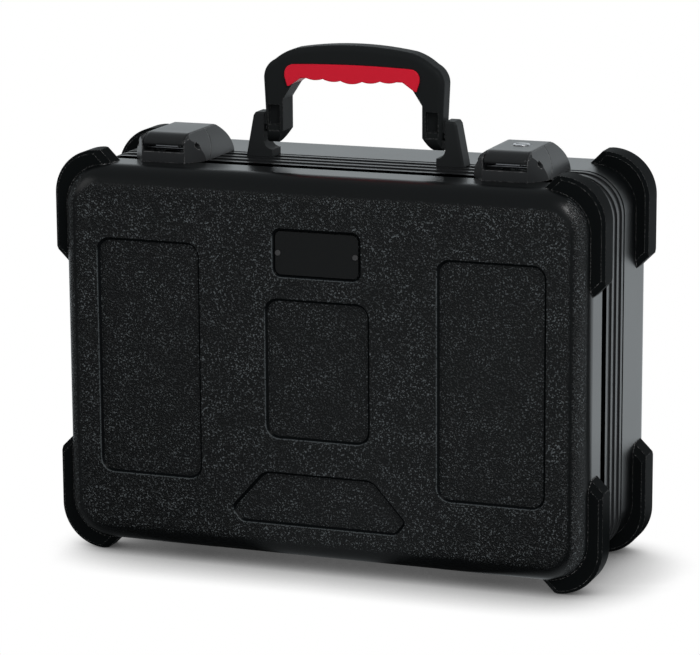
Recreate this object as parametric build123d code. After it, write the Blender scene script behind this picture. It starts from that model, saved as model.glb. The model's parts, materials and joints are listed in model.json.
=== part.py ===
from build123d import *
import os

# Hard pedal case standing upright on its corner bumpers, in millimetres.
# X runs along the width, Y from the lid (front, negative) to the back, Z up from the floor.
# The origin is on the floor, under the middle of the case.

# Case body
case_width = 480.0  # over the corner bumpers
case_height = 344.4  # over the corner bumpers
case_depth = 186.6
standoff = 10.7  # how far a bumper stands proud of the shells
corner_radius = 35.0
face_fillet = 20.0
wall = 3.0

half_width = case_width / 2 - standoff
half_height = case_height / 2 - standoff
mid_height = case_height / 2
shell_bottom = standoff
shell_top = case_height - standoff

# Depth stations
lid_front = -case_depth / 2
base_back = case_depth / 2
lid_rim = -48.7
valance_front = -35.7
valance_rear = 15.7

# Fits
overshoot = 1.0  # how far a cutting tool passes the face it cuts
leeway = 1.0  # for telling one edge from the next
same = 0.01  # for finding a corner by its height
weld = 0.1  # overlap that fuses a thin web to its frame
drill_depth = 12.0
clearance = 0.4
running_gap = 0.05
press_gap = 0.02

# Moulded recesses in the shells
recess_depth = 3.0
recess_draft = 2.4
panel_radius = 12.0
side_panel = (93.0, 202.0)
side_panel_centre = (149.8, 173.4)
middle_panel = (92.2, 119.0)
middle_panel_height = 173.1
badge_panel = (78.0, 41.5)
badge_height = 270.6
badge_corner = 8.0
badge_rivet_x = 33.75
badge_thickness = 1.4
badge_gap = 0.3
foot_panel_top = (48.0, 85.5)
foot_panel_wide = (78.0, 51.7)
foot_panel_bottom = (68.4, 39.7)
foot_panel_radii = (14.0, 5.0, 7.0)

# Corner bumpers
bumper_radius = 38.0
bumper_bevel = 2.8
bumper_across = 40.8
bumper_end_bevel = 5.0
bumper_down = 86.6
lid_bumper_y = (-79.9, -53.5)
base_bumper_y = (48.7, 77.6)
bumper_screw_radius = 2.0
bumper_screw_length = 10.5
bumper_screw_drops = (46.0, 66.0)
screw_head_radius = 4.0
screw_head_height = 2.4

# Valances
groove_depth = 1.4
land_starts = (valance_front, -20.5, -6.8, 7.1)
land_width = 5.2
valance_inner = 4.2
valance_web = 7.0
flange_thickness = 3.0
flange_length = 13.0
tongue_outer = 4.6
tongue_inner = 6.4
tongue_tip = -32.3
tongue_root = lid_rim - 8
seal_seat = -26.3
seal_inner = 9.0
seal_gap = 0.1
seal_face_gap = 0.5
seal_web = (9.8, 2.5)  # how far in, and how thick

# Foam
base_foam_inset = 10.2
base_foam_front = -31.0
bay_wall = 17.0
bay_floor = 69.0
lid_foam_inset = 7.4
lid_foam_rear = -41.0
foam_gap = 0.4
foam_rounding = 12.0

# Hinges
hinge_y = (lid_rim + valance_front) / 2
hinge_z = 6.0
hinge_x = 125.0
hinge_length = 60.0
knuckle_radius = 4.5
knuckle_count = 5
knuckle_gap = 0.3
hinge_pin_radius = 2.0
leaf_thickness = 1.5
leaf_start = 5.1  # from the hinge axis
leaf_corner = 6.0
neck_low = 7.0
neck_overlap = 0.5
base_leaf_rear = 4.0
lid_leaf_front = -72.0
hinge_rivet_pitch = 22.0
base_hinge_rivet_y = -11.0
lid_hinge_rivet_y = -62.0

# Carrying handle
handle_y = 4.1
pivot_z = 357.5
handle_thickness = 23.0
handle_rounding = 5.0
leg_foot_x = 77.2
leg_head = (80.0, 401.5)
shoulder_low_bend = (77.9, 409.6)
shoulder = (70.0, 417.0)
shoulder_high_bend = (60.5, 423.3)
brow = (51.0, 426.9)
handle_blend = 16.0
handle_top = 431.2
leg_inner = 61.7
leg_inner_top = 384.0
leg_toe = (69.2, 357.2)  # where the inner corner is cut off: x at the foot, z up the inner side
throat = (51.5, 399.6)
handle_pin_radius = 3.0
handle_pin_start = 67.7
handle_pin_end = 86.0
leg_window_x = (64.6, 75.2)
leg_window_z = (357.0, 379.0)
leg_window_depth = 4.5
leg_tab_top = 362.0
leg_tab_drop = 1.2

# Soft grip
grip_half_length = 59.6
grip_thickness = 26.0
grip_top = 415.3
grip_shoulder = 413.6
grip_corner = 8.0
grip_under = ((grip_half_length, 403.6), (57.2, 395.6), (55.5, 395.6), (45.0, 402.8))
lobe_pitch = 16.2
lobe_radius = 21.3
lobe_bottoms = (401.5, 400.7, 399.5, 400.7, 401.5)

# Handle posts
post_inner = 80.5
post_top = 371.6
post_shoulder = (90.3, 368.6)
post_crest = 88.3
post_foot = (72.8, 97.0)
post_foot_height = 6.6
post_throat = 348.0
post_cradle = (78.9, 343.2)
post_y = (-3.9, 14.6)
post_edge = 2.0
post_screw_x = (78.0, 90.0)
post_screw_depth = 6.0
post_screw_radius = 2.0
post_screw_head = 2.0

# Latches
latch_x = 149.5
latch_half_width = 32.0
latch_waist = (28.2, 345.8)
latch_brow = 19.0
cheek_top = 356.9
cheek_inner = 18.6
latch_front = -58.0
latch_facet_front = 19.3
latch_facet_rear = -40.5
latch_rear_top = 10.0
latch_rear_mid = (17.6, 347.0)
latch_rear = 20.0
latch_split = ((-36.3, shell_top - 1), (-24.0, 344.0), (-19.8, 349.0), (-12.0, 358.0))
latch_split_gap = 0.8
latch_plate = 2.0
latch_front_plate = 2.5
front_plate_top = 342.6
keeper_floor_rear = -42.0
keeper_bar = (-44.6, 344.2)
keeper_bar_radius = 1.5
rod_reach = 23.5
cheek_window = ((-47.4, 348.2), (-46.2, 346.8))
cheek_window_radius = 2.3
blind_wall = 3.0  # kept between the lever channel and a cheek window

# Levers, hooks and lock
lever_half_width = 18.1
lever_wall = 2.5
lever_skin = 2.8
lever_top = 357.2
lever_front = -57.6
lever_lip = 348.3
lever_chin = 351.5
lever_bow = (-51.0, 355.5)
lever_crest = -40.0
lever_pivot = (7.5, 342.5)
lever_boss = 5.2
lever_hollow_rear = 9.1
lever_hollow_chin = 350.7
lever_hollow_bow = (-49.6, 353.0)
lever_belly = ((-18.0, 340.5), (-37.0, lever_lip))
lever_pin_radius = 2.0
hook_pivot = (-26.0, 348.0)
hook_pin_radius = 1.5
hook_pin_reach = 16.6
hook_half_width = 10.0
hook_boss = 3.0
hook_back = (346.4, 350.6)  # under and upper side at the pin
hook_elbow = (-43.5, 347.0)
hook_palm = -46.8
hook_claw = (-49.4, 346.1, 348.5)  # front, low and high
lock_y = -13.0
lock_radius = 7.2
lock_floor = 350.5
lock_slot = (10.0, 3.0)
lock_slot_depth = 3.0
lock_proud = 0.7
lock_stem = 1.5
cam_half_width = 2.5
cam_reach = 9.2
cam_z = (348.0, 349.4)

# Rivets
rivet_radius = 1.6
rivet_head_height = 1.1
rivet_head_radius = 3.0
keeper_rivet_length = 4.8
keeper_rivet_head = 2.5
badge_rivet_head = 2.4
hinge_rivet_length = 6.0
housing_rivet_length = 6.2
housing_rivet_x = 11.0
housing_rivet_y = (-18.0, 11.0)
keeper_rivet_x = 12.0
keeper_rivet_y = -52.4


def at_depth(y):
    """XZ plane at depth y."""
    return Plane.XZ.offset(-y)


def prism(sketch, y_front, y_back):
    """Push an XZ sketch from y_front to y_back."""
    return extrude(at_depth(y_back) * sketch, amount=y_back - y_front)


def sideways(sketch, x_low, x_high):
    """Push a YZ sketch from x_low to x_high."""
    return extrude(Plane.YZ.offset(x_low) * sketch, amount=x_high - x_low)


def rod_x(x_low, x_high, y, z, radius):
    """Round bar along X."""
    return sideways(Pos(y, z) * Circle(radius), x_low, x_high)


def rod_y(x, y_low, y_high, z, radius):
    """Round bar along Y."""
    return prism(Pos(x, z) * Circle(radius), y_low, y_high)


def rod_z(x, y, z_low, z_high, radius):
    """Round bar along Z."""
    return extrude(Plane.XY.offset(z_low) * Pos(x, y) * Circle(radius), amount=z_high - z_low)


def block(x, y, z):
    """Box between pairs of coordinates."""
    size = [high - low for low, high in (x, y, z)]
    centre = [(high + low) / 2 for low, high in (x, y, z)]
    return Pos(*centre) * Box(*size)


def mirrored(points):
    """The same points on the left, in reverse order."""
    return [(-x, z) for x, z in reversed(points)]


def corners_at(shape, height):
    return [corner for corner in shape.vertices() if abs(corner.Y - height) < same]


def case_outline(inset):
    """Rounded outline of the case, moved in from the outside of the shells."""
    radius = max(corner_radius - inset, 2)
    width = 2 * (half_width - inset)
    height = 2 * (half_height - inset)
    return Pos(0, mid_height) * RectangleRounded(width, height, radius)


def hoop(outer_inset, inner_inset, y_front, y_back):
    """Closed frame that follows the case outline."""
    return prism(case_outline(outer_inset) - case_outline(inner_inset), y_front, y_back)


def rounded_panel(size, centre, radius, grow):
    width, height = size
    return Pos(*centre) * RectangleRounded(width + 2 * grow, height + 2 * grow, radius + grow)


def left_outline(grow=0):
    x, z = side_panel_centre
    return rounded_panel(side_panel, (-x, z), panel_radius, grow)


def right_outline(grow=0):
    return rounded_panel(side_panel, side_panel_centre, panel_radius, grow)


def middle_outline(grow=0):
    return rounded_panel(middle_panel, (0, middle_panel_height), panel_radius, grow)


def badge_outline(grow=0):
    return rounded_panel(badge_panel, (0, badge_height), badge_corner, grow)


def foot_outline(grow=0):
    """Six-sided panel near the bottom of the lid, wider towards its foot."""
    right = [foot_panel_top, foot_panel_wide, foot_panel_bottom]
    shape = make_face(Polyline(*right, *mirrored(right), close=True))
    for (_, height), radius in zip(right, foot_panel_radii):
        shape = fillet(corners_at(shape, height), radius)
    return offset(shape, grow) if grow else shape


def recess(outline, y_face, towards, grow=0):
    """Drafted pocket that narrows as it goes in from y_face; towards is +1 or -1 along Y."""
    mouth = at_depth(y_face) * outline(grow)
    floor = at_depth(y_face + towards * recess_depth) * outline(grow - recess_draft)
    return loft([mouth.face(), floor.face()])


def shell(outside, inside, outlines, y_face, towards):
    """Moulded shell whose wall follows its recesses inside and out."""
    for outline in outlines:
        outside -= recess(outline, y_face, towards)
        inside -= recess(outline, y_face + towards * wall, towards, grow=wall)
    return outside - inside


def lid_block(inset=0):
    """Outside of the lid, or its cavity when inset by the wall."""
    solid = prism(case_outline(inset), lid_front + inset, lid_rim + inset)
    return fillet(solid.faces().sort_by(Axis.Y)[0].edges(), face_fillet - inset)


def base_block(inset=0):
    """Outside of the base, or its cavity when inset by the wall."""
    solid = prism(case_outline(inset), valance_rear - inset, base_back - inset)
    return fillet(solid.faces().sort_by(Axis.Y)[-1].edges(), face_fillet - inset)


def drill_z(solid, places, z_low, z_high, radius=rivet_radius):
    """Upright holes through a solid at each (x, y)."""
    for x, y in places:
        solid -= rod_z(x, y, z_low, z_high, radius + running_gap)
    return solid


def badge_rivet_holes(solid):
    far = lid_front + recess_depth + wall + overshoot
    for x in (-badge_rivet_x, badge_rivet_x):
        solid -= rod_y(x, lid_front, far, badge_height, rivet_radius + running_gap)
    return solid


def lid_shell():
    outlines = [left_outline, right_outline, middle_outline, badge_outline, foot_outline]
    solid = shell(lid_block(), lid_block(wall), outlines, lid_front, 1)
    for screw in bumper_screws(lid_bumper_y, running_gap):
        solid -= screw
    places = hinge_rivet_places(lid_hinge_rivet_y)
    solid = drill_z(solid, places, shell_bottom - overshoot, shell_bottom + wall + overshoot)
    solid = drill_z(solid, keeper_rivet_places(), shell_top - wall - overshoot, shell_top + overshoot)
    return badge_rivet_holes(solid)


def base_shell():
    outlines = [left_outline, right_outline, middle_outline]
    solid = shell(base_block(), base_block(wall), outlines, base_back, -1)
    for screw in bumper_screws(base_bumper_y, running_gap):
        solid -= screw
    return solid


def lid_valance():
    """Black tongue frame fixed inside the lid rim; its edge enters the base valance."""
    frame = hoop(wall, tongue_inner, tongue_root, valance_front - clearance)
    return frame + hoop(tongue_outer, tongue_inner, valance_front - clearance, tongue_tip)


def base_valance():
    """Frame with four lands and coved grooves, a channel for the tongue and a flange in the base."""
    frame = hoop(groove_depth, valance_inner, valance_front, valance_rear)
    for start in land_starts:
        frame += hoop(0, valance_inner, start, start + land_width)
    web_inset, web_thickness = seal_web
    frame += hoop(valance_inner - weld, web_inset, seal_seat, seal_seat + web_thickness)
    frame += hoop(groove_depth, wall + flange_thickness, valance_rear - valance_web, valance_rear)
    frame += hoop(wall, wall + flange_thickness, valance_rear, valance_rear + flange_length)
    places = hinge_rivet_places(base_hinge_rivet_y)
    frame = drill_z(frame, places, shell_bottom - overshoot, shell_bottom + drill_depth)
    roof = (shell_top - drill_depth, shell_top + overshoot)
    frame = drill_z(frame, housing_rivet_places(), *roof)
    return drill_z(frame, post_screw_places(), *roof, post_screw_radius)


def valance_seal():
    return hoop(valance_inner + seal_gap, seal_inner, tongue_tip + seal_face_gap, seal_seat)


def base_foam():
    """Foam tray: walls and a floor around one open bay for the pedals."""
    rear = base_back - wall - recess_depth - foam_gap
    tray = prism(case_outline(base_foam_inset), base_foam_front, rear)
    tray = fillet(tray.faces().sort_by(Axis.Y)[-1].edges(), foam_rounding)
    return tray - prism(case_outline(base_foam_inset + bay_wall), base_foam_front - overshoot, bay_floor)


def lid_foam():
    pad = prism(case_outline(lid_foam_inset), lid_front + wall + recess_depth + foam_gap, lid_foam_rear)
    return fillet(pad.faces().sort_by(Axis.Y)[0].edges(), foam_rounding)


def bevelled(solid, amount):
    """The solid with every edge of its front and back faces bevelled."""
    rims = solid.faces().sort_by(Axis.Y)
    return chamfer(rims[0].edges() + rims[-1].edges(), amount)


def bumper(side, level, y_pair, seat):
    """L-shaped bumper round one corner, bevelled along its outer edges and its 45 degree ends."""
    y_front, y_back = y_pair
    outline = Pos(0, mid_height) * RectangleRounded(case_width, case_height, bumper_radius)
    bar = bevelled(prism(outline, y_front, y_back), bumper_bevel)
    near_x = half_width - bumper_across
    near_z = half_height - bumper_down
    reach = 2 * standoff
    corners = [
        (near_x - standoff, half_height - standoff),
        (near_x + reach, half_height + reach),
        (half_width + reach, half_height + reach),
        (half_width + reach, near_z + reach),
        (half_width - standoff, near_z - standoff),
        (near_x - standoff, near_z - standoff),
    ]
    window = make_face(Polyline(*[(side * x, level * z) for x, z in corners], close=True))
    window = prism(Pos(0, mid_height) * window, y_front - overshoot, y_back + overshoot)
    piece = (bar & bevelled(window, bumper_end_bevel + overshoot)) - seat
    for screw in bumper_screws(y_pair, running_gap):
        piece -= screw
    return piece


def bumper_screws(y_pair, grow=0):
    """Two screws per bumper, driven outwards through the shell's side wall from inside."""
    y = sum(y_pair) / 2
    head_x = half_width - wall
    screws = []
    for side in (-1, 1):
        for z in bumper_screw_heights():
            shank_ends = sorted((side * (head_x - grow), side * (head_x + bumper_screw_length)))
            screw = rod_x(*shank_ends, y, z, bumper_screw_radius + grow)
            if not grow:
                head_ends = sorted((side * head_x, side * (head_x - screw_head_height)))
                screw += sideways(Pos(y, z) * RegularPolygon(screw_head_radius, 6), *head_ends)
            screws.append(screw)
    return screws


def bumper_screw_heights():
    return [mid_height + level * (half_height - drop) for level in (-1, 1) for drop in bumper_screw_drops]


def name_plate():
    """Bare plate in the badge recess."""
    floor = lid_front + recess_depth
    plate = prism(badge_outline(-recess_draft - badge_gap), floor - badge_thickness, floor)
    return badge_rivet_holes(plate)


def badge_rivet(x):
    """Rivet that goes in along +Y, with a low domed head on the plate."""
    face = lid_front + recess_depth - badge_thickness
    reach = 2 * badge_rivet_head
    dome = Pos(x, face, badge_height) * Sphere(badge_rivet_head)
    dome = dome & block((x - reach, x + reach), (face - rivet_head_height, face), (0, case_height))
    return dome + rod_y(x, face, face + recess_depth + rivet_head_height, badge_height, rivet_radius)


def rivet_z(place, z_face, up, length, head_radius=rivet_head_radius):
    """Rivet with its head on the outer side of z_face; up is +1 for a head on top."""
    head_ends = sorted((z_face, z_face + up * rivet_head_height))
    shank_ends = sorted((z_face, z_face - up * length))
    return rod_z(*place, *head_ends, head_radius) + rod_z(*place, *shank_ends, rivet_radius)


def hinge_rivet_places(y):
    return [(side * hinge_x + step * hinge_rivet_pitch, y) for side in (-1, 1) for step in (-1, 0, 1)]


def knuckle(side, index, towards):
    """One barrel segment with the neck that ties it to its leaf; towards is the leaf's side along Y."""
    pitch = hinge_length / knuckle_count
    low = side * hinge_x - hinge_length / 2 + index * pitch + knuckle_gap / 2
    high = low + pitch - knuckle_gap
    neck_ends = sorted((hinge_y, hinge_y + towards * (leaf_start + neck_overlap)))
    neck = block((low, high), neck_ends, (neck_low, shell_bottom))
    return rod_x(low, high, hinge_y, hinge_z, knuckle_radius) + neck


def leaf(side, towards, y_far, rivet_y):
    """Hinge leaf under the case, with its share of the barrel."""
    x_ends = (side * hinge_x - hinge_length / 2, side * hinge_x + hinge_length / 2)
    y_ends = sorted((hinge_y + towards * leaf_start, y_far))
    plate = block(x_ends, y_ends, (shell_bottom - leaf_thickness, shell_bottom))
    upright = plate.edges().filter_by(Axis.Z).sort_by(Axis.Y)
    plate = fillet(upright[-2:] if towards > 0 else upright[:2], leaf_corner)
    for index in range(0 if towards > 0 else 1, knuckle_count, 2):
        plate += knuckle(side, index, towards)
    bore = hinge_pin_radius + running_gap
    plate -= rod_x(x_ends[0] - overshoot, x_ends[1] + overshoot, hinge_y, hinge_z, bore)
    return drill_z(plate, hinge_rivet_places(rivet_y), shell_bottom - drill_depth, shell_bottom + overshoot)


def hinge_pin(side):
    middle = side * hinge_x
    return rod_x(middle - hinge_length / 2, middle + hinge_length / 2, hinge_y, hinge_z, hinge_pin_radius)


def handle_outline():
    """Front view of the whole handle with the hand opening cut out."""
    foot_z = pivot_z - handle_thickness / 2
    brow_x, brow_z = brow
    crown = ThreePointArc(brow, (0, handle_top), (-brow_x, brow_z))
    shoulders = []
    for start, bend, end in ((leg_head, shoulder_low_bend, shoulder), (shoulder, shoulder_high_bend, brow)):
        shoulders.append(ThreePointArc(start, bend, end))
        shoulders.append(ThreePointArc(*[(-x, z) for x, z in (start, bend, end)]))
    toe_x, toe_z = leg_toe
    opening = [(throat[0], grip_shoulder - grip_corner), throat, (leg_inner, leg_inner_top)]
    opening += [(leg_inner, toe_z), (toe_x, foot_z)]
    leg = [(leg_foot_x, foot_z), leg_head]
    inside = Polyline(*mirrored(leg), *mirrored(opening), *opening, *leg)
    shape = make_face([crown, *shoulders, inside])
    wide = leg_foot_x + leeway
    bends = [corner for corner in shape.vertices() if abs(corner.X) > wide or corner.Y > grip_top]
    return fillet(bends, handle_blend)


def grip_outline():
    """Front view of the soft grip: arched top, dropped ends and a row of finger lobes."""
    half = grip_half_length
    under = list(grip_under)
    top = ThreePointArc((-half, grip_shoulder), (0, grip_top), (half, grip_shoulder))
    sides = Polyline((half, grip_shoulder), *under, *mirrored(under), (-half, grip_shoulder))
    body = make_face([top, sides])
    body = fillet(corners_at(body, grip_shoulder), grip_corner)
    middle = (len(lobe_bottoms) - 1) / 2
    for index, bottom in enumerate(lobe_bottoms):
        lobe = Pos((index - middle) * lobe_pitch, bottom + lobe_radius) * Circle(lobe_radius)
        body += lobe & Pos(0, bottom) * Rectangle(2 * half, 2 * (grip_shoulder - grip_corner - bottom))
    return body


def leg_profile():
    """Side view of the handle: parallel sides and round ends about the pivot."""
    low = Pos(handle_y, pivot_z) * Circle(handle_thickness / 2)
    height = handle_top - pivot_z + overshoot
    tall = Pos(handle_y, pivot_z + height / 2) * Rectangle(handle_thickness, height)
    return sideways(low + tall, -case_width / 2, case_width / 2)


def handle_frame():
    half = handle_thickness / 2
    front = handle_y - half
    frame = prism(handle_outline(), front, handle_y + half)
    rims = [edge for edge in frame.edges() if abs(abs(edge.center().Y - handle_y) - half) < 0.1]
    narrow = leg_foot_x - leeway
    outer = [edge for edge in rims if abs((edge @ 0.5).X) > narrow or (edge @ 0.5).Z > grip_top]
    frame = fillet(outer, handle_rounding) & leg_profile()
    frame -= prism(grip_outline(), front - overshoot, handle_y + half + overshoot)
    window_floor = front + leg_window_depth
    for side in (-1, 1):
        window_x = sorted(side * x for x in leg_window_x)
        frame -= block(window_x, (front - overshoot, window_floor), leg_window_z)
        frame += block(window_x, (front + leg_tab_drop, window_floor), (leg_window_z[0], leg_tab_top))
        ends = sorted((side * (handle_pin_start - overshoot), side * handle_pin_end))
        frame -= rod_x(*ends, handle_y, pivot_z, handle_pin_radius + running_gap)
    return frame


def handle_grip():
    half = grip_thickness / 2
    return prism(grip_outline(), handle_y - half, handle_y + half)


def handle_post(side):
    """Post beside a handle leg, with a foot that runs in under the leg's round end."""
    foot_in, foot_out = post_foot
    foot_z = shell_top + post_foot_height
    outside = [(foot_in, foot_z), (foot_in, shell_top), (foot_out, shell_top), post_shoulder]
    outside += [(post_crest, post_top), (post_inner, post_top), (post_inner, post_throat)]
    cradle = ThreePointArc((post_inner, post_throat), post_cradle, (foot_in, foot_z))
    post = prism(make_face([Polyline(*outside), cradle]), *post_y)
    upright = [edge for edge in post.edges() if edge.center().Z > foot_z]
    post = fillet([edge for edge in upright if edge.center().X > post_inner + overshoot], post_edge)
    post -= rod_x(post_inner - overshoot, handle_pin_end, handle_y, pivot_z, handle_pin_radius + press_gap)
    places = [(x, handle_y) for x in post_screw_x]
    screw_top = shell_top + post_screw_depth + clearance
    post = drill_z(post, places, shell_top - overshoot, screw_top, post_screw_radius)
    return post if side > 0 else mirror(post, Plane.YZ)


def handle_pin(side):
    ends = sorted((side * handle_pin_start, side * handle_pin_end))
    return rod_x(*ends, handle_y, pivot_z, handle_pin_radius)


def post_screw_places():
    return [(side * x, handle_y) for side in (-1, 1) for x in post_screw_x]


def post_screws():
    """Screws driven up from inside the base valance into the posts."""
    under = shell_top - valance_inner
    screws = []
    for x, y in post_screw_places():
        hexagon = Plane.XY.offset(under) * Pos(x, y) * RegularPolygon(screw_head_radius, 6)
        head = extrude(hexagon, amount=-post_screw_head)
        screws.append(head + rod_z(x, y, under, shell_top + post_screw_depth, post_screw_radius))
    return screws


def nose(front, chin, bow, top):
    """Bowed front edge of a latch in side view."""
    return ThreePointArc((front, chin), bow, (lever_crest, top))


def latch_body():
    """Outside of one whole latch: curved flanks, faceted front corners and a sloping rear."""
    right_foot = (latch_half_width, shell_top)
    right_brow = (latch_brow, cheek_top)
    left_foot = (-latch_half_width, shell_top)
    left_brow = (-latch_brow, cheek_top)
    waist_x, waist_z = latch_waist
    across = make_face([
        Line(left_foot, right_foot),
        ThreePointArc(right_foot, latch_waist, right_brow),
        Line(right_brow, left_brow),
        ThreePointArc(left_brow, (-waist_x, waist_z), left_foot),
    ])
    facet = [(latch_facet_front, latch_front), (latch_half_width, latch_facet_rear)]
    edge = [*facet, (latch_half_width, latch_rear)]
    plan = make_face(Polyline(*edge, *mirrored(edge), close=True))
    rear = ThreePointArc((latch_rear_top, cheek_top), latch_rear_mid, (latch_rear, shell_top))
    profile = make_face([
        nose(latch_front, lever_chin, lever_bow, cheek_top),
        Line((lever_crest, cheek_top), (latch_rear_top, cheek_top)),
        rear,
        Polyline((latch_rear, shell_top), (latch_front, shell_top), (latch_front, lever_chin)),
    ])
    body = prism(across, latch_front - overshoot, latch_rear + overshoot)
    body = body & extrude(Plane.XY.offset(shell_top) * plan, amount=cheek_top - shell_top + overshoot)
    return body & sideways(profile, -latch_half_width - overshoot, latch_half_width + overshoot)


def behind_split(gap):
    """Everything behind the slanted joint between the lid's wings and the base's cheeks."""
    line = [(y + gap, z) for y, z in latch_split]
    far = 2 * latch_rear
    region = make_face(Polyline(*line, (far, line[-1][1]), (far, line[0][1]), close=True))
    return sideways(region, -latch_half_width - overshoot, latch_half_width + overshoot)


def lever_channel(y_low, y_high, z_low):
    """Space between the cheeks, where the lever lies."""
    return block((-cheek_inner, cheek_inner), (y_low, y_high), (z_low, cheek_top + overshoot))


def housing_rivet_places():
    across = [side * latch_x + u for side in (-1, 1) for u in (-housing_rivet_x, housing_rivet_x)]
    return [(x, y) for x in across for y in housing_rivet_y]


def rivet_floor(latch, places):
    """Rivet holes through the floor plate of a latch half."""
    return drill_z(latch, places, shell_top - overshoot, shell_top + latch_plate + overshoot)


def latch_housing(side, body):
    """Base plate riveted to the valance, with a curved cheek on each side of the lever."""
    housing = body & behind_split(latch_split_gap)
    housing -= lever_channel(latch_front, latch_rear + overshoot, shell_top + latch_plate)
    housing -= rod_x(-rod_reach, rod_reach, *lever_pivot, lever_pin_radius + press_gap)
    return rivet_floor(Pos(side * latch_x, 0, 0) * housing, housing_rivet_places())


def keeper_rivet_places():
    across = [side * latch_x + u for side in (-1, 1) for u in (-keeper_rivet_x, keeper_rivet_x)]
    return [(x, keeper_rivet_y) for x in across]


def latch_keeper(side, body):
    """Lid half of the latch: floor, front plate and two wings that carry the keeper bar."""
    keeper = body - behind_split(0)
    keeper -= lever_channel(latch_front + latch_front_plate, latch_rear, shell_top + latch_plate)
    keeper -= lever_channel(latch_front - overshoot, latch_rear, front_plate_top)
    keeper -= lever_channel(keeper_floor_rear, latch_rear, shell_top - overshoot)
    overhang = (keeper_floor_rear, latch_rear)
    relief = (shell_top - overshoot, shell_top + clearance)
    keeper -= block((-latch_half_width, latch_half_width), overhang, relief)
    for wing in (-1, 1):
        for y, z in cheek_window:
            ends = sorted((wing * (cheek_inner + blind_wall), wing * latch_half_width))
            keeper -= rod_x(*ends, y, z, cheek_window_radius)
    keeper -= rod_x(-rod_reach, rod_reach, *keeper_bar, keeper_bar_radius + press_gap)
    return rivet_floor(Pos(side * latch_x, 0, 0) * keeper, keeper_rivet_places())


def keeper_rod(side):
    x = side * latch_x
    return rod_x(x - rod_reach, x + rod_reach, *keeper_bar, keeper_bar_radius)


def lever_outline():
    """Side view of the lever: bowed nose, flat top and a round boss about its pivot."""
    y, z = lever_pivot
    diagonal = lever_boss / 2 ** 0.5
    belly = [(lever_front, lever_lip), (lever_front, lever_chin)]
    return make_face([
        Line((y, z - lever_boss), lever_belly[0]),
        Polyline(*lever_belly, *belly),
        nose(lever_front, lever_chin, lever_bow, lever_top),
        Polyline((lever_crest, lever_top), (latch_rear_top, lever_top), (y + lever_boss, z)),
        ThreePointArc((y + lever_boss, z), (y + diagonal, z - diagonal), (y, z - lever_boss)),
    ])


def lever_hollow():
    """Side view of the space under the lever's skin."""
    front = lever_front + lever_skin
    top = lever_top - lever_skin
    rear = lever_hollow_rear
    chin = lever_hollow_chin
    return make_face([
        nose(front, chin, lever_hollow_bow, top),
        Polyline((lever_crest, top), (rear, top), (rear, shell_top), (front, shell_top), (front, chin)),
    ])


def latch_lever(side):
    """Hollow lever cover hinged at its rear between the cheeks."""
    inside = lever_half_width - lever_wall
    lever = sideways(lever_outline(), -lever_half_width, lever_half_width)
    lever -= sideways(lever_hollow(), -inside, inside)
    lever -= rod_x(-rod_reach, rod_reach, *lever_pivot, lever_pin_radius + running_gap)
    lever -= rod_x(-hook_pin_reach, hook_pin_reach, *hook_pivot, hook_pin_radius + press_gap)
    lever = Pos(side * latch_x, 0, 0) * lever
    if side > 0:
        lever -= rod_z(latch_x, lock_y, lock_floor, lever_top + overshoot, lock_radius + running_gap)
    return lever


def lever_pin(side):
    x = side * latch_x
    return rod_x(x - rod_reach, x + rod_reach, *lever_pivot, lever_pin_radius)


def hook_pin(side):
    x = side * latch_x
    return rod_x(x - hook_pin_reach, x + hook_pin_reach, *hook_pivot, hook_pin_radius)


def latch_hook(side):
    """Claw on a pin under the lever; its nose drops in front of the keeper bar."""
    y, z = hook_pivot
    back_low, back_high = hook_back
    claw_front, claw_low, claw_high = hook_claw
    outline = [(y, back_low), hook_elbow, (hook_palm, claw_low), (claw_front, claw_low)]
    outline += [(claw_front, claw_high), (y, back_high)]
    arm = make_face(Polyline(*outline, close=True)) + Pos(y, z) * Circle(hook_boss)
    arm -= Pos(y, z) * Circle(hook_pin_radius + running_gap)
    return Pos(side * latch_x, 0, 0) * sideways(arm, -hook_half_width, hook_half_width)


def lock_cylinder():
    """Key barrel in the right lever, with a slot on top and a cam underneath."""
    top = lever_top + lock_proud
    barrel = rod_z(0, 0, lock_floor, top, lock_radius)
    barrel = fillet(barrel.edges().group_by(Axis.Z)[-1], lock_proud)
    length, width = lock_slot
    slot_z = (top - lock_slot_depth, top + overshoot)
    barrel -= block((-length / 2, length / 2), (-width / 2, width / 2), slot_z)
    barrel += rod_z(0, 0, lock_floor - lock_stem, lock_floor, lock_radius / 2)
    barrel += block((-cam_half_width, cam_half_width), (0, cam_reach), cam_z)
    return Pos(latch_x, lock_y, 0) * barrel


def save(name, solids):
    """Write one node; a list becomes one group of separate solids."""
    shape = Compound(children=solids) if isinstance(solids, list) else solids
    export_step(shape, os.path.join("parts", name + ".step"))
    print(name, round(shape.volume / 1000, 2), "cm3")


def save_body_parts():
    save("lid_shell", lid_shell())
    save("base_shell", base_shell())
    save("lid_valance", lid_valance())
    save("base_valance", base_valance())
    save("valance_seal", valance_seal())
    save("base_foam", base_foam())
    save("lid_foam", lid_foam())
    save("name_plate", name_plate())
    save("name_plate_rivets", [badge_rivet(-badge_rivet_x), badge_rivet(badge_rivet_x)])
    save("lid_bumper_screws", bumper_screws(lid_bumper_y))
    save("base_bumper_screws", bumper_screws(base_bumper_y))


def save_bumpers():
    lid_seat = lid_block()
    base_seat = base_block()
    for side, side_name in ((-1, "left"), (1, "right")):
        for level, level_name in ((-1, "bottom"), (1, "top")):
            ending = level_name + "_" + side_name
            save("lid_bumper_" + ending, bumper(side, level, lid_bumper_y, lid_seat))
            save("base_bumper_" + ending, bumper(side, level, base_bumper_y, base_seat))


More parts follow.
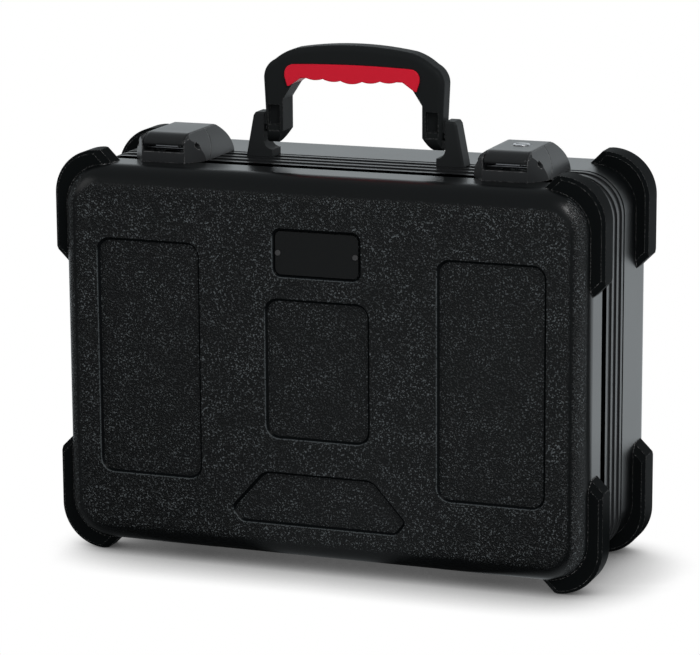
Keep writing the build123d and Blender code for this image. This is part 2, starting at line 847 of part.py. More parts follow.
def save_hinges():
    for side, side_name in ((-1, "left"), (1, "right")):
        save("hinge_base_leaf_" + side_name, leaf(side, 1, base_leaf_rear, base_hinge_rivet_y))
        save("hinge_lid_leaf_" + side_name, leaf(side, -1, lid_leaf_front, lid_hinge_rivet_y))
        save("hinge_pin_" + side_name, hinge_pin(side))
    face = shell_bottom - leaf_thickness
    base_places = hinge_rivet_places(base_hinge_rivet_y)
    lid_places = hinge_rivet_places(lid_hinge_rivet_y)
    save("hinge_base_rivets", [rivet_z(place, face, -1, hinge_rivet_length) for place in base_places])
    save("hinge_lid_rivets", [rivet_z(place, face, -1, hinge_rivet_length) for place in lid_places])


def save_handle():
    for side, side_name in ((-1, "left"), (1, "right")):
        save("handle_post_" + side_name, handle_post(side))
        save("handle_pin_" + side_name, handle_pin(side))
    save("handle_frame", handle_frame())
    save("handle_grip", handle_grip())
    save("handle_post_screws", post_screws())


def save_latches():
    body = latch_body()
    for side, side_name in ((-1, "left"), (1, "right")):
        save("latch_housing_" + side_name, latch_housing(side, body))
        save("latch_keeper_" + side_name, latch_keeper(side, body))
        save("keeper_bar_" + side_name, keeper_rod(side))
        save("latch_lever_" + side_name, latch_lever(side))
        save("lever_pin_" + side_name, lever_pin(side))
        save("latch_hook_" + side_name, latch_hook(side))
        save("hook_pin_" + side_name, hook_pin(side))
    save("lock_cylinder", lock_cylinder())
    face = shell_top + latch_plate
    housing_rivets = [rivet_z(place, face, 1, housing_rivet_length) for place in housing_rivet_places()]
    save("latch_housing_rivets", housing_rivets)
    keeper_size = (keeper_rivet_length, keeper_rivet_head)
    save("latch_keeper_rivets", [rivet_z(place, face, 1, *keeper_size) for place in keeper_rivet_places()])


def main():
    os.makedirs("parts", exist_ok=True)
    save_body_parts()
    save_bumpers()
    save_hinges()
    save_handle()
    save_latches()


main()
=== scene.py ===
import bmesh
import bpy
import json
import math
from mathutils import Euler, Matrix, Vector


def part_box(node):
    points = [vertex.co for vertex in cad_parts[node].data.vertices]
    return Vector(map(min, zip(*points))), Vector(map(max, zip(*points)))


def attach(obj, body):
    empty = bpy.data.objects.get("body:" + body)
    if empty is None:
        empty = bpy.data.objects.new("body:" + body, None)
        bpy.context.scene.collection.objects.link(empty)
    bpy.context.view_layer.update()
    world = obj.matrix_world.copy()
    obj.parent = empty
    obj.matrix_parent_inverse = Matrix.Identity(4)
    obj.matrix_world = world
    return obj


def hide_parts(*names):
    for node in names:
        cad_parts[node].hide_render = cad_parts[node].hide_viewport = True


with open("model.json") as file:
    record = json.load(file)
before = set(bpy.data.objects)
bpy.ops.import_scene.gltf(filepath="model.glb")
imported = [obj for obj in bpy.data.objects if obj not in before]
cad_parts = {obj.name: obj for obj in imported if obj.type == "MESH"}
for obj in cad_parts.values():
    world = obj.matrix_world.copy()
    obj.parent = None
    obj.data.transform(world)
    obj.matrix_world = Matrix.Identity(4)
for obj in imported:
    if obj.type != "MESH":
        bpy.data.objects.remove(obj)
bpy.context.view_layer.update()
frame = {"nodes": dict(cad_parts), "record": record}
cadNodes = frame["nodes"]
print("frame loaded:", len(cadNodes), "nodes")


class Wire:  # a socket that understands + - * / and powers
    def __init__(self, finish, socket):
        self.finish = finish
        self.socket = socket

    def calculate(self, operation, *values):
        return self.finish.add("Math", {"operation": operation}, dict(enumerate(values)))

    def __add__(self, other):
        return self.calculate("ADD", self, other)

    def __radd__(self, other):
        return self.calculate("ADD", other, self)

    def __sub__(self, other):
        return self.calculate("SUBTRACT", self, other)

    def __rsub__(self, other):
        return self.calculate("SUBTRACT", other, self)

    def __mul__(self, other):
        return self.calculate("MULTIPLY", self, other)

    def __rmul__(self, other):
        return self.calculate("MULTIPLY", other, self)

    def __truediv__(self, other):
        return self.calculate("DIVIDE", self, other)

    def __rtruediv__(self, other):
        return self.calculate("DIVIDE", other, self)

    def __pow__(self, other):
        return self.calculate("POWER", self, other)

    def __rpow__(self, other):
        return self.calculate("POWER", other, self)

    def __abs__(self):
        return self.calculate("ABSOLUTE", self)

    def atLeast(self, other):
        return self.calculate("MAXIMUM", self, other)

    def atMost(self, other):
        return self.calculate("MINIMUM", self, other)

    def ramp(self, start, end, low=0.0, high=1.0):  # smooth step from low to high
        sockets = {"Value": self, "From Min": start, "From Max": end, "To Min": low, "To Max": high}
        return self.finish.add("MapRange", {"interpolation_type": "SMOOTHSTEP"}, sockets)

    def fall(self, start, end):  # smooth step from 1 down to 0
        return self.ramp(start, end, 1.0, 0.0)

    def between(self, rise, fall):  # 1 between a step up and a step down
        return self.ramp(*rise) * self.fall(*fall)


class Finish:  # the node tree of one material or world
    def __init__(self, owner):
        owner.use_nodes = True
        self.owner = owner
        self.tree = owner.node_tree
        self.tree.nodes.clear()

    def node(self, kind, settings=None, sockets=None):  # settings first, then socket values or links
        made = self.tree.nodes.new("ShaderNode" + kind)
        for key, value in (settings or {}).items():
            setattr(made, key, value)
        for key, value in (sockets or {}).items():
            if isinstance(value, Wire):
                self.tree.links.new(value.socket, made.inputs[key])
            else:
                made.inputs[key].default_value = value
        return made

    def add(self, kind, settings=None, sockets=None, output=0):
        return Wire(self, self.node(kind, settings, sockets).outputs[output])

    def mixColour(self, factor, first, second):  # 6, 7 and output 2 are the colour sockets of a Mix node
        return self.add("Mix", {"data_type": "RGBA"}, {0: factor, 6: first, 7: second}, 2)

    def mixShaders(self, factor, first, second):
        return self.add("MixShader", None, {0: factor, 1: first, 2: second})

    def seenBy(self, *rays):  # 1 for the named kinds of ray
        total = self.add("LightPath", output=rays[0])
        for ray in rays[1:]:
            total = total.atLeast(self.add("LightPath", output=ray))
        return total

    def place(self, output="Object"):
        return self.add("TexCoord", output=output)

    def stretched(self, scale):
        return self.add("Mapping", None, {"Vector": self.place(), "Scale": scale})

    def axes(self, vector):
        return [Wire(self, socket) for socket in self.node("SeparateXYZ", None, {0: vector}).outputs]

    def noise(self, vector, scale, detail=2.0, roughness=0.5, distortion=0.0):
        sockets = {"Vector": vector, "Scale": scale, "Detail": detail, "Roughness": roughness}
        return self.add("TexNoise", None, {**sockets, "Distortion": distortion})

    def cells(self, vector, scale):
        return self.add("TexVoronoi", None, {"Vector": vector, "Scale": scale})

    def rounded(self, radius, samples=6):  # normals that turn softly over sharp edges
        return self.add("Bevel", {"samples": samples}, {"Radius": radius})

    def wornAndGlinting(self, radius, start, end):  # 1 along sharp edges, 0 on open faces
        sockets = {0: self.rounded(radius), 1: self.add("NewGeometry", output="Normal")}
        along = self.add("VectorMath", {"operation": "DOT_PRODUCT"}, sockets, "Value")
        return (1.0 - along).ramp(start, end)

    def bump(self, height, strength, distance, normal=None):
        sockets = {"Height": height, "Strength": strength, "Distance": distance}
        if normal is not None:
            sockets["Normal"] = normal
        return self.add("Bump", None, sockets)

    def principled(self, **sockets):  # socket names come with underscores for blanks
        named = {key.replace("_", " "): value for key, value in sockets.items()}
        return self.add("BsdfPrincipled", None, named)

    def surface(self, shader, kind="OutputMaterial"):
        self.node(kind, None, {"Surface": shader})
        return self.owner


lidLow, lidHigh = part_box("lid_shell")
caseSize = {  # metres, from the frame
    "halfWidth": (lidHigh[0] - lidLow[0]) / 2,
    "halfHeight": (lidHigh[2] - lidLow[2]) / 2,
    "midHeight": (lidHigh[2] + lidLow[2]) / 2,
    "lidFront": lidLow[1],
    "bandFront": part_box("base_valance")[0][1],
}


# Facing is 1 on a face that looks straight to the front or back, and 0 on one that is edge on.
# Aim is how far a face looks to the side, or to the right and up for the painted rim highlights. Lengths are
# in metres.
shellSpec = {
    "colour": (0.0030, 0.0038, 0.0042, 1), "roughFlat": 0.26, "roughGrain": 0.36, "edge": 0.0008,
    "cloudScale": 9.0, "cloudRough": 0.05,
    "pebbleScale": 700.0, "pebbleRoughness": 0.6, "pebbleWander": 0.35, "pebbleRise": (0.36, 0.66),
    "pebbleShare": 0.8, "fineScale": 1500.0, "bumpStrength": 1.0, "bumpHeight": 0.00045,
    # speck is the colour of painted glints: lighter dots where the pebbles would catch the light, set in
    # patches
    "speckGlint": (0.082, 0.095, 0.101, 1), "speckGlintShare": (0.598, 0.658),
    "glintPatchScale": 52.0, "glintPatchShare": (0.34, 0.60), "glintPatchLow": 0.35,
    "grainBorder": 0.0125, "grainCorner": 0.024, "grainFade": 0.004, "grainFacing": (0.90, 0.97),
    # the wall keys set painted shade on the drafted recess walls
    "wallShadeFacing": ((0.35, 0.50), (0.78, 0.90)), "wallShadeShare": 0.9, "wallShadeRough": 0.6,
    "sunkFrom": (0.0012, 0.0026), "sunkGlintCalm": 0.15,
    # the rim keys set a painted highlight on recess rims that face right and up
    "rimHighlightColour": (0.075, 0.085, 0.090, 1), "rimHighlightLean": 0.6, "rimHighlightAim": (0.2, 0.5), "rimHighlightTo": (0.0004, 0.0012),
    "rimHighlightBreaks": (0.30, 0.50),
    "shoulderShare": 0.9, "shoulderFacing": (0.30, 0.48), "shoulderAim": ((0.36, 0.50), (0.80, 0.92)),
}


def grainMasks(finish, spec):  # grain with its painted glints, painted shade on the drafted recess walls, fewer painted glints on the recess floors, and painted highlights on rims that face right and up
    x, y, z = finish.axes(finish.place())
    aimX, aimY, aimZ = finish.axes(finish.place("Normal"))
    facing = abs(aimY)
    depth = y - caseSize["lidFront"]
    reachX = caseSize["halfWidth"] - spec["grainBorder"] - spec["grainCorner"]
    reachZ = caseSize["halfHeight"] - spec["grainBorder"] - spec["grainCorner"]
    outX = (abs(x) - reachX).atLeast(0.0)
    outZ = (abs(z - caseSize["midHeight"]) - reachZ).atLeast(0.0)
    away = (outX * outX + outZ * outZ) ** 0.5 - spec["grainCorner"]
    inside = away.fall(-spec["grainFade"], 0.0)
    # painted shade on the drafted recess walls
    wallShade = inside * facing.between(*spec["wallShadeFacing"])
    # fewer painted glints on the sunk recess floors
    glintCalm = 1.0 - depth.ramp(*spec["sunkFrom"]) * inside * spec["sunkGlintCalm"]
    # rim: painted highlight on edges that face right and up, towards the lamps
    rim = (aimX * spec["rimHighlightLean"] + aimZ).ramp(*spec["rimHighlightAim"]) * depth.fall(*spec["rimHighlightTo"])
    rounding = (1.0 - inside) * facing.ramp(*spec["shoulderFacing"])
    shoulder = rounding * abs(aimX).between(*spec["shoulderAim"])  # grain runs on over the side edges
    grain = (inside * facing.ramp(*spec["grainFacing"])).atLeast(shoulder * spec["shoulderShare"])
    return grain, wallShade, glintCalm, rim


def shellFinish(spec):
    finish = Finish(bpy.data.materials.new("grainedShell"))
    where = finish.place()
    grain, wallShade, glintCalm, rim = grainMasks(finish, spec)
    pebbles = finish.noise(
        where, spec["pebbleScale"], detail=1.0,
        roughness=spec["pebbleRoughness"], distortion=spec["pebbleWander"],
    )
    fine = finish.noise(where, spec["fineScale"], detail=0.0)
    glintPatches = finish.noise(where, spec["glintPatchScale"]).ramp(*spec["glintPatchShare"], spec["glintPatchLow"])
    height = pebbles.ramp(*spec["pebbleRise"]) * spec["pebbleShare"] + fine * (1 - spec["pebbleShare"])
    # painted glints on the grain, in patches, fewer on the sunk recess floors
    speckGlints = pebbles.ramp(*spec["speckGlintShare"]) * glintPatches * grain * glintCalm
    cloud = finish.noise(where, spec["cloudScale"])
    grainRough = grain * (spec["roughGrain"] - spec["roughFlat"])
    softEdge = finish.rounded(spec["edge"])
    plastic = finish.principled(
        Base_Color=finish.mixColour(speckGlints, spec["colour"], spec["speckGlint"]),
        Roughness=spec["roughFlat"] + grainRough + cloud * spec["cloudRough"],
        Normal=finish.bump(height * grain, spec["bumpStrength"], spec["bumpHeight"], softEdge),
    )
    # painted highlight along the rims, broken up by the pebbles
    brokenRimHighlight = rim * pebbles.ramp(*spec["rimHighlightBreaks"])
    shaded = finish.principled(
        Base_Color=finish.mixColour(brokenRimHighlight, spec["colour"], spec["rimHighlightColour"]),
        Roughness=spec["wallShadeRough"], Specular_IOR_Level=0.0,
    )
    # the recess walls take a dark, unreflecting shader: painted shade
    return finish.surface(finish.mixShaders(wallShade * spec["wallShadeShare"], plastic, shaded))


satinBase = {  # holds for every satin finish that doesn't say otherwise
    "level": 0.5, "edge": 0.0006, "cloudScale": 14.0, "cloudRough": 0.06,
    "grainScale": 2400.0, "grainStrength": 0.6, "grainHeight": 0.00003,
    # the wear keys set lighter edges: partly real wear, partly painted glint along the edges
    "edgeWearAndGlint": 0.0, "edgeWearAndGlintTone": 0.12, "edgeWearAndGlintRough": 0.45, "edgeWearAndGlintLevel": 0.3,
    "edgeWearAndGlintReach": 1.6, "edgeWearAndGlintTurn": (0.03, 0.14),
    "scuffAndGlintScale": 700.0, "scuffAndGlintShare": (0.48, 0.60), "scuffAndGlintLow": 0.05,
}
satinSpecs = {
    "bumperGloss": {
        "colour": (0.0046, 0.0055, 0.0058, 1), "rough": 0.36, "level": 0.004, "edge": 0.0009,
        "edgeWearAndGlint": 1.0, "edgeWearAndGlintTone": 0.20,
    },
    # near black with no reflection: the rubber's own black, darkened further as painted shade in the gap
    "sealRubberAndGapShade": {"colour": (0.0008, 0.0008, 0.0008, 1), "rough": 0.9, "level": 0.0},
    "blackCoat": {"colour": (0.015, 0.015, 0.016, 1), "rough": 0.4},
    "handleBlack": {
        "colour": (0.0140, 0.0156, 0.0162, 1), "rough": 0.40, "level": 0.024, "edge": 0.0010,
        "edgeWearAndGlint": 0.6, "edgeWearAndGlintTone": 0.09,
    },
    "redGrip": {"colour": (0.72, 0.0020, 0.024, 1), "rough": 0.42, "level": 0.3, "edge": 0.0015},
    "latchSatin": {
        "colour": (0.025, 0.0268, 0.0285, 1), "rough": 0.38, "level": 0.32, "edge": 0.0009,
        "edgeWearAndGlint": 0.8, "edgeWearAndGlintTone": 0.24,
    },
    "plateGloss": {"colour": (0.0070, 0.0076, 0.0078, 1), "rough": 0.25, "level": 0.3},
    "leverGloss": {"colour": (0.0120, 0.0130, 0.0138, 1), "rough": 0.31, "level": 0.60, "edge": 0.0036},
    "postBlack": {
        "colour": (0.0220, 0.0240, 0.0250, 1), "rough": 0.42, "level": 0.05, "edge": 0.0010,
        "edgeWearAndGlint": 0.4, "edgeWearAndGlintTone": 0.06,
    },
    "dullRivets": {"colour": (0.05, 0.05, 0.052, 1), "rough": 0.45},
}


def satinFinish(name, spec):
    finish = Finish(bpy.data.materials.new(name))
    where = finish.place()
    cloud = finish.noise(where, spec["cloudScale"])
    grain = finish.noise(where, spec["grainScale"], detail=1.0)
    normal = finish.bump(grain, spec["grainStrength"], spec["grainHeight"], finish.rounded(spec["edge"]))
    body = finish.principled(
        Base_Color=spec["colour"], Normal=normal, Specular_IOR_Level=spec["level"],
        Roughness=spec["rough"] - spec["cloudRough"] / 2 + cloud * spec["cloudRough"],
    )
    if not spec["edgeWearAndGlint"]:
        return finish.surface(body)
    # lighter edges, broken up by scuffs: partly real wear, partly painted glint
    scuffAndGlintBreakup = finish.noise(where, spec["scuffAndGlintScale"], detail=1.0).ramp(*spec["scuffAndGlintShare"], spec["scuffAndGlintLow"])
    wornAndGlinting = finish.wornAndGlinting(spec["edge"] * spec["edgeWearAndGlintReach"], *spec["edgeWearAndGlintTurn"]) * scuffAndGlintBreakup * spec["edgeWearAndGlint"]
    bareAndGlinting = finish.principled(
        Base_Color=(spec["edgeWearAndGlintTone"],) * 3 + (1,), Roughness=spec["edgeWearAndGlintRough"],
        Normal=normal, Specular_IOR_Level=spec["edgeWearAndGlintLevel"],
    )
    return finish.surface(finish.mixShaders(wornAndGlinting, body, bareAndGlinting))


metalBase = {
    "marksScale": 1800.0, "marksStretch": (0.08, 1.0, 1.0), "marksRough": 0.1,
    "marksStrength": 0.4, "marksHeight": 0.00002,
}
metalSpecs = {
    "zincSteel": {"colour": (0.55, 0.55, 0.56, 1), "rough": 0.35},
    "brightSteel": {"colour": (0.62, 0.62, 0.64, 1), "rough": 0.28},
}


def metalFinish(name, spec):
    finish = Finish(bpy.data.materials.new(name))
    marks = finish.noise(finish.stretched(spec["marksStretch"]), spec["marksScale"])
    return finish.surface(finish.principled(
        Base_Color=spec["colour"], Metallic=1.0,
        Roughness=spec["rough"] - spec["marksRough"] / 2 + marks * spec["marksRough"],
        Normal=finish.bump(marks, spec["marksStrength"], spec["marksHeight"]),
    ))


valanceBase = {
    "drawnScale": 60.0, "drawnStretch": (1.0, 30.0, 1.0), "drawnRough": 0.08,
    "drawnStrength": 0.5, "drawnHeight": 0.00003, "edge": 0.0004,
    # painted shade for the band's front end in the gap between lid and base
    "gapShadeColour": (0.0006, 0.0006, 0.0006, 1), "gapShadeRough": 0.8,
    "shadedEndFacing": (0.80, 0.95), "shadedEndDepth": (0.001, 0.002),
}
valanceSpecs = {
    "blackAnodised": {"colour": (0.015, 0.016, 0.017, 1), "rough": 0.3, "level": 0.36},
    # the lid's tongue is near black with no reflection: painted shade in the gap
    "tongueShadeBlack": {"colour": (0.001, 0.001, 0.001, 1), "rough": 0.6, "level": 0.0},
}


def valanceFinish(name, spec):  # drawn metal, with painted shade: a matt black on the band's front end, where it faces into the gap
    finish = Finish(bpy.data.materials.new(name))
    drawn = finish.noise(finish.stretched(spec["drawnStretch"]), spec["drawnScale"])
    softEdge = finish.rounded(spec["edge"])
    band = finish.principled(
        Base_Color=spec["colour"], Roughness=spec["rough"] + drawn * spec["drawnRough"],
        Normal=finish.bump(drawn, spec["drawnStrength"], spec["drawnHeight"], softEdge),
        Specular_IOR_Level=spec["level"],
    )
    gapShade = finish.principled(
        Base_Color=spec["gapShadeColour"], Roughness=spec["gapShadeRough"], Specular_IOR_Level=0.0,
    )
    facing = abs(finish.axes(finish.place("Normal"))[1])
    depth = finish.axes(finish.place())[1] - caseSize["bandFront"]
    # painted shade on the band's front end
    shadedFrontEnd = facing.ramp(*spec["shadedEndFacing"]) * depth.fall(*spec["shadedEndDepth"])
    return finish.surface(finish.mixShaders(shadedFrontEnd, band, gapShade))


foamLook = {
    "dark": (0.024, 0.024, 0.026, 1), "pale": (0.052, 0.052, 0.056, 1), "cloudScale": 60.0, "rough": 0.95,
    "cellScale": 900.0, "cellStrength": 0.8, "cellHeight": 0.0004, "level": 0.2,
}


def foamFinish(spec):
    finish = Finish(bpy.data.materials.new("charcoalFoam"))
    where = finish.place()
    cells = finish.cells(where, spec["cellScale"])
    cloud = finish.noise(where, spec["cloudScale"], detail=3.0)
    return finish.surface(finish.principled(
        Base_Color=finish.mixColour(cloud, spec["dark"], spec["pale"]), Roughness=spec["rough"],
        Normal=finish.bump(cells, spec["cellStrength"], spec["cellHeight"]), Specular_IOR_Level=spec["level"],
    ))


satins = {name: satinFinish(name, {**satinBase, **spec}) for name, spec in satinSpecs.items()}
metals = {name: metalFinish(name, {**metalBase, **spec}) for name, spec in metalSpecs.items()}
valances = {name: valanceFinish(name, {**valanceBase, **spec}) for name, spec in valanceSpecs.items()}

finishes = {  # by material slot
    "shell_plastic": shellFinish(shellSpec),
    "bumper_plastic": satins["bumperGloss"],
    "black_aluminium": valances["blackAnodised"],
    "seal_rubber": satins["sealRubberAndGapShade"],
    "foam": foamFinish(foamLook),
    "hinge_steel": satins["blackCoat"],
    "handle_plastic": satins["handleBlack"],
    "grip_rubber": satins["redGrip"],
    "latch_metal": satins["latchSatin"],
    "plate_plastic": satins["plateGloss"],
    "screw_steel": metals["zincSteel"],
    "bright_steel": metals["brightSteel"],
}
ownFinishes = {  # nodes that look different from the rest of their slot
    # the tongue carries painted shade for the gap
    "lid_valance": valances["tongueShadeBlack"],
    "name_plate_rivets": satins["dullRivets"],
    "latch_lever_left": satins["leverGloss"],
    "latch_lever_right": satins["leverGloss"],
    "handle_post_left": satins["postBlack"],
    "handle_post_right": satins["postBlack"],
}
slotOf = {part["node"]: part["material_slot"] for part in frame["record"]["subparts"]}


def dress(name, node):
    finish = ownFinishes.get(name, finishes[slotOf[name]])
    if not node.material_slots:
        node.data.materials.append(finish)
    for materialSlot in node.material_slots:
        materialSlot.material = finish


for nodeName, cadNode in cadNodes.items():
    dress(nodeName, cadNode)
print("finishes on", len(cadNodes), "nodes")


foamMargin = 0.0003  # metres that a pad keeps inside its solid
# Towards its hidden face a pad's edge rounds over: inset, and distance from that face.
foamEdge = ((0.012, 0.001), (0.0035, 0.004), (0.0, 0.012))


def foamBox(node):
    low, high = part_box(node)
    return low, high, (high[0] - low[0]) / 2 - foamMargin, (high[2] - low[2]) / 2 - foamMargin


def roundedRing(halfWidth, halfHeight, radius, steps):  # points round a rectangle with round corners
    points = []
    for quarter in range(4):
        signX = 1 if quarter in (0, 3) else -1
        signZ = 1 if quarter in (0, 1) else -1
        for step in range(steps + 1):
            angle = math.radians(90 * (quarter + step / steps))
            x = signX * (halfWidth - radius) + radius * math.cos(angle)
            z = signZ * (halfHeight - radius) + radius * math.sin(angle)
            points.append((x, z))
    return points


def bridge(bm, first, second):  # faces between two rings of points
    count = len(first)
    for index in range(count):
        after = (index + 1) % count
        bm.faces.new((first[index], first[after], second[after], second[index]))


def finishFoam(bm, name, node, body):
    bmesh.ops.triangulate(bm, faces=[face for face in bm.faces if len(face.verts) > 4])
    bmesh.ops.recalc_face_normals(bm, faces=bm.faces)
    mesh = bpy.data.meshes.new(name)
    bm.to_mesh(mesh)
    bm.free()
    mesh.polygons.foreach_set("use_smooth", [True] * len(mesh.polygons))
    mesh.materials.append(finishes["foam"])
    piece = bpy.data.objects.new(name, mesh)
    bpy.context.collection.objects.link(piece)
    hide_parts(node)
    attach(piece, body)


traySpec = {  # lip is the rounding over of the walls' front edges
    "frontGap": 0.0006, "lip": 0.005, "lipSteps": 4, "wall": 0.017, "wallStops": (0.0, 0.04),
    "bayFloor": 0.069, "footCut": 0.3, "corner": 0.0248, "leastCorner": 0.004, "cornerSteps": 10,
}


def trayStations(low, high, spec):  # inset and Y of each ring, from the back, over the lip, into the bay
    lip = spec["lip"]
    wall = spec["wall"]
    bayFloor = spec["bayFloor"]
    front = low[1] + foamMargin + spec["frontGap"]
    turns = [math.radians(90 * step / spec["lipSteps"]) for step in range(spec["lipSteps"] + 1)]
    curve = [(lip * (1 - math.cos(turn)), lip * (1 - math.sin(turn))) for turn in turns]
    stations = [(inset, high[1] - distance) for inset, distance in foamEdge]
    stations += [(inset, front + y) for inset, y in curve]
    stations += [(wall - inset, front + y) for inset, y in reversed(curve)]
    stations += [(wall, y) for y in spec["wallStops"]]
    cut = lip * spec["footCut"]  # where the wall turns into the floor of the bay
    return stations + [(wall, bayFloor - lip), (wall + cut, bayFloor - cut), (wall + lip, bayFloor)]


def makeTrayFoam(spec):  # walls and floor round one open bay, every edge rounded over
    low, high, halfWidth, halfHeight = foamBox("base_foam")
    bm = bmesh.new()
    rings = []
    for inset, y in trayStations(low, high, spec):
        radius = max(spec["corner"] - inset, spec["leastCorner"])
        outline = roundedRing(halfWidth - inset, halfHeight - inset, radius, spec["cornerSteps"])
        rings.append([bm.verts.new((x, y, caseSize["midHeight"] + z)) for x, z in outline])
    for first, second in zip(rings, rings[1:]):
        bridge(bm, first, second)
    bm.faces.new(rings[0])
    bm.faces.new(rings[-1])
    finishFoam(bm, "foam_tray", "base_foam", "base")


lidPadSpec = {"pitch": 0.034, "depth": 0.013, "step": 0.0042, "rim": 0.012, "roll": 0.006, "corner": 0.0276}


def padPoint(across, up, halfWidth, halfHeight, spec):  # X, drop and Z at a place from -1 to 1 each way
    x = halfWidth * across
    z = halfHeight * up
    corner = spec["corner"]
    away = Vector((max(abs(x) - halfWidth + corner, 0), max(abs(z) - halfHeight + corner, 0)))
    square = max(away.x, away.y)
    if away.x > 0 and away.y > 0:  # squares are pulled onto the round corner
        away = away.normalized() * square
        x = math.copysign(halfWidth - corner + away.x, x)
        z = math.copysign(halfHeight - corner + away.y, z)
    edge = corner - away.length if square else min(halfWidth - abs(x), halfHeight - abs(z))
    wave = math.cos(2 * math.pi * x / spec["pitch"]) * math.cos(2 * math.pi * z / spec["pitch"])
    dip = spec["depth"] * (1 - wave) / 2 * min(max(edge / spec["rim"], 0), 1)
    roll = spec["roll"] * (1 - min(edge / spec["roll"], 1)) ** 2
    return x, dip + roll, z


def makeLidFoam(spec):  # egg-crate pad: a grid of soft peaks with a plain rim
    low, high, halfWidth, halfHeight = foamBox("lid_foam")
    top = high[1] - foamMargin
    columns = round(2 * halfWidth / spec["step"])
    rows = round(2 * halfHeight / spec["step"])
    bm = bmesh.new()
    grid = []
    for row in range(rows + 1):
        line = []
        for column in range(columns + 1):
            x, drop, z = padPoint(2 * column / columns - 1, 2 * row / rows - 1, halfWidth, halfHeight, spec)
            line.append(bm.verts.new((x, top - drop, caseSize["midHeight"] + z)))
        grid.append(line)
    for lower, upper in zip(grid, grid[1:]):
        for column in range(columns):
            bm.faces.new((lower[column], lower[column + 1], upper[column + 1], upper[column]))
    rimEdges = [edge for edge in bm.edges if edge.is_boundary]
    for inset, distance in reversed(foamEdge):
        grown = bmesh.ops.extrude_edge_only(bm, edges=rimEdges)["geom"]
        rimEdges = [item for item in grown if isinstance(item, bmesh.types.BMEdge) and item.is_boundary]
        for vertex in {vertex for edge in rimEdges for vertex in edge.verts}:
            shrink = Vector((vertex.co.x, 0, vertex.co.z - caseSize["midHeight"])).normalized() * inset
            vertex.co = Vector((vertex.co.x - shrink.x, low[1] + distance, vertex.co.z - shrink.z))
    bmesh.ops.holes_fill(bm, edges=rimEdges)
    finishFoam(bm, "foam_lid_pad", "lid_foam", "lid")


makeTrayFoam(traySpec)
makeLidFoam(lidPadSpec)
print("foam lining modelled")


cameraSpec = {  # metres, degrees and millimetres
    "place": (0.94944, -2.54341, 0.78489), "pitch": -12.33, "heading": 20.58, "roll": -0.32,
    "lens": 169.25, "sensor": 36.0, "sightEnd": 50.0,
}


def makeCamera(spec):
    data = bpy.data.cameras.new("camera")
    data.lens = spec["lens"]
    data.sensor_width = spec["sensor"]
    data.sensor_fit = "HORIZONTAL"
    data.clip_end = spec["sightEnd"]
    camera = bpy.data.objects.new("camera", data)
    bpy.context.collection.objects.link(camera)
    aim = Euler((math.radians(90 + spec["pitch"]), 0, math.radians(spec["heading"]))).to_matrix().to_4x4()
    roll = Matrix.Rotation(math.radians(spec["roll"]), 4, "Z")
    camera.matrix_world = Matrix.Translation(spec["place"]) @ aim @ roll
    bpy.context.scene.camera = camera


makeCamera(cameraSpec)
print("camera placed")


studioSpec = {  # frontTo, backFrom and cardAt run from -1 in front of the case to 1 behind it
    "floorSize": 12.0, "floorColour": (0.82, 0.82, 0.82, 1), "shadeReach": 0.09, "shadeSamples": 32,
    "shadeLean": (-0.32, 0.38, 0.86), "shadeGain": 1.25, "shadeCurve": 1.25, "mirrorShade": 0.35,
    "worldLevel": 0.5, "skyShare": 0.93, "ceiling": 0.15, "ceilingFrom": (0.19, 0.60),
    "tint": (0.93, 1.0, 1.035, 1),
    "back": 0.95, "card": 0.7, "front": 0.22, "dark": 0.02,
    "frontTo": (-0.92, -0.78), "backFrom": (0.45, 0.65), "cardAt": -0.15, "cardHalf": (0.18, 0.34),
    "sideFade": (-0.1, 0.1), "leftShare": 0.14, "leftBack": 0.2,
}


def studioMix(finish, kind, x, y, spec, level=1.0):  # what shiny faces mirror, by compass direction
    turn = y / (x * x + y * y) ** 0.5  # 1 behind the case, -1 in front of it
    lights = {}
    for name in ("back", "card", "front", "dark"):
        lights[name] = finish.add(kind, None, {"Color": spec["tint"], "Strength": spec[name] * level})
    front = finish.mixShaders(turn.fall(*spec["frontTo"]), lights["dark"], lights["front"])
    cardShare = abs(turn - spec["cardAt"]).fall(*spec["cardHalf"])
    cardShare = cardShare * x.ramp(*spec["sideFade"], spec["leftShare"])
    card = finish.mixShaders(cardShare, front, lights["card"])
    behind = turn + x.ramp(*spec["sideFade"], spec["leftBack"], 0.0)
    return finish.mixShaders(behind.ramp(*spec["backFrom"]), card, lights["back"])


def floorFinish(spec):  # white paper for the light, and a soft contact shade for the eye
    finish = Finish(bpy.data.materials.new("paleFloor"))
    x, y = finish.axes(finish.place())[:2]
    paint = finish.add("BsdfDiffuse", None, {"Color": spec["floorColour"]})
    lean = finish.add("CombineXYZ", None, dict(enumerate(spec["shadeLean"])))
    reach = {"Distance": spec["shadeReach"], "Normal": lean}
    openness = finish.add("AmbientOcclusion", {"samples": spec["shadeSamples"]}, reach, "AO")
    lit = (openness * spec["shadeGain"]).atMost(1.0) ** spec["shadeCurve"]
    shade = finish.add("Emission", None, {"Strength": 0.0})
    clear = finish.add("BsdfTransparent")
    seen = finish.mixShaders(lit, shade, clear)
    mirrorLit = lit * spec["mirrorShade"] + (1 - spec["mirrorShade"])
    mirrored = finish.mixShaders(mirrorLit, shade, studioMix(finish, "Emission", x, y, spec))
    rest = finish.mixShaders(finish.seenBy("Is Glossy Ray", "Is Transmission Ray"), paint, mirrored)
    above = finish.mixShaders(finish.seenBy("Is Camera Ray"), rest, seen)
    under = finish.add("NewGeometry", output="Backfacing")  # light passes up, so an opened lid stays lit
    return finish.surface(finish.mixShaders(under, above, clear))


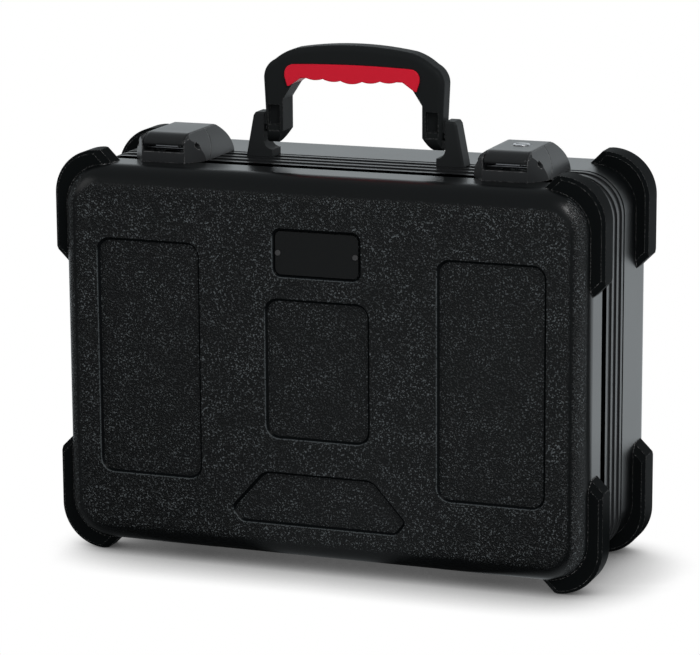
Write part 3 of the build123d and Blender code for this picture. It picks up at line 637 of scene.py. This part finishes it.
def makeFloor(spec):
    half = spec["floorSize"] / 2
    corners = [(-half, -half, 0), (half, -half, 0), (half, half, 0), (-half, half, 0)]
    mesh = bpy.data.meshes.new("floor")
    mesh.from_pydata(corners, [], [(0, 1, 2, 3)])
    mesh.materials.append(floorFinish(spec))
    floor = bpy.data.objects.new("floor", mesh)
    bpy.context.collection.objects.link(floor)


def makeWorld(spec):
    world = bpy.data.worlds.new("studio")
    bpy.context.scene.world = world
    finish = Finish(world)
    white = (1, 1, 1, 1)
    x, y, z = finish.axes(finish.place("Generated"))
    plain = finish.add("Background", None, {"Color": white, "Strength": spec["worldLevel"]})
    ceiling = finish.add("Background", None, {"Color": spec["tint"], "Strength": spec["ceiling"]})
    backdrop = finish.add("Background", None, {"Color": white, "Strength": 1.0})
    sides = studioMix(finish, "Background", x, y, spec, spec["skyShare"])
    mirrored = finish.mixShaders(z.ramp(*spec["ceilingFrom"]), sides, ceiling)
    rest = finish.mixShaders(finish.seenBy("Is Glossy Ray", "Is Transmission Ray"), plain, mirrored)
    finish.surface(finish.mixShaders(finish.seenBy("Is Camera Ray"), rest, backdrop), "OutputWorld")


lampSpecs = {  # metres and watts; glint tells if shiny faces mirror the lamp
    "key": {"place": (1.9, -1.5, 2.3), "size": (1.2, 1.2), "power": 36.0, "glint": True},
    "top": {"place": (-0.6, 2.1, 2.3), "size": (2.4, 1.2), "power": 30.0, "glint": False},
    "fill": {"place": (-2.4, -1.6, 1.4), "size": (1.4, 1.4), "power": 5.0, "glint": True},
}


def makeLamp(name, spec):
    data = bpy.data.lights.new(name, "AREA")
    data.shape = "RECTANGLE"
    data.size, data.size_y = spec["size"]
    data.energy = spec["power"]
    lamp = bpy.data.objects.new(name, data)
    lamp.visible_glossy = spec["glint"]
    bpy.context.collection.objects.link(lamp)
    place = Vector(spec["place"])
    turn = (Vector((0, 0, caseSize["midHeight"])) - place).to_track_quat("-Z", "Y")
    lamp.matrix_world = Matrix.LocRotScale(place, turn, None)


makeFloor(studioSpec)
makeWorld(studioSpec)
for lampName, lampSpec in lampSpecs.items():
    makeLamp(lampName, lampSpec)
bpy.context.scene.view_settings.view_transform = "Standard"
print("stage ready")
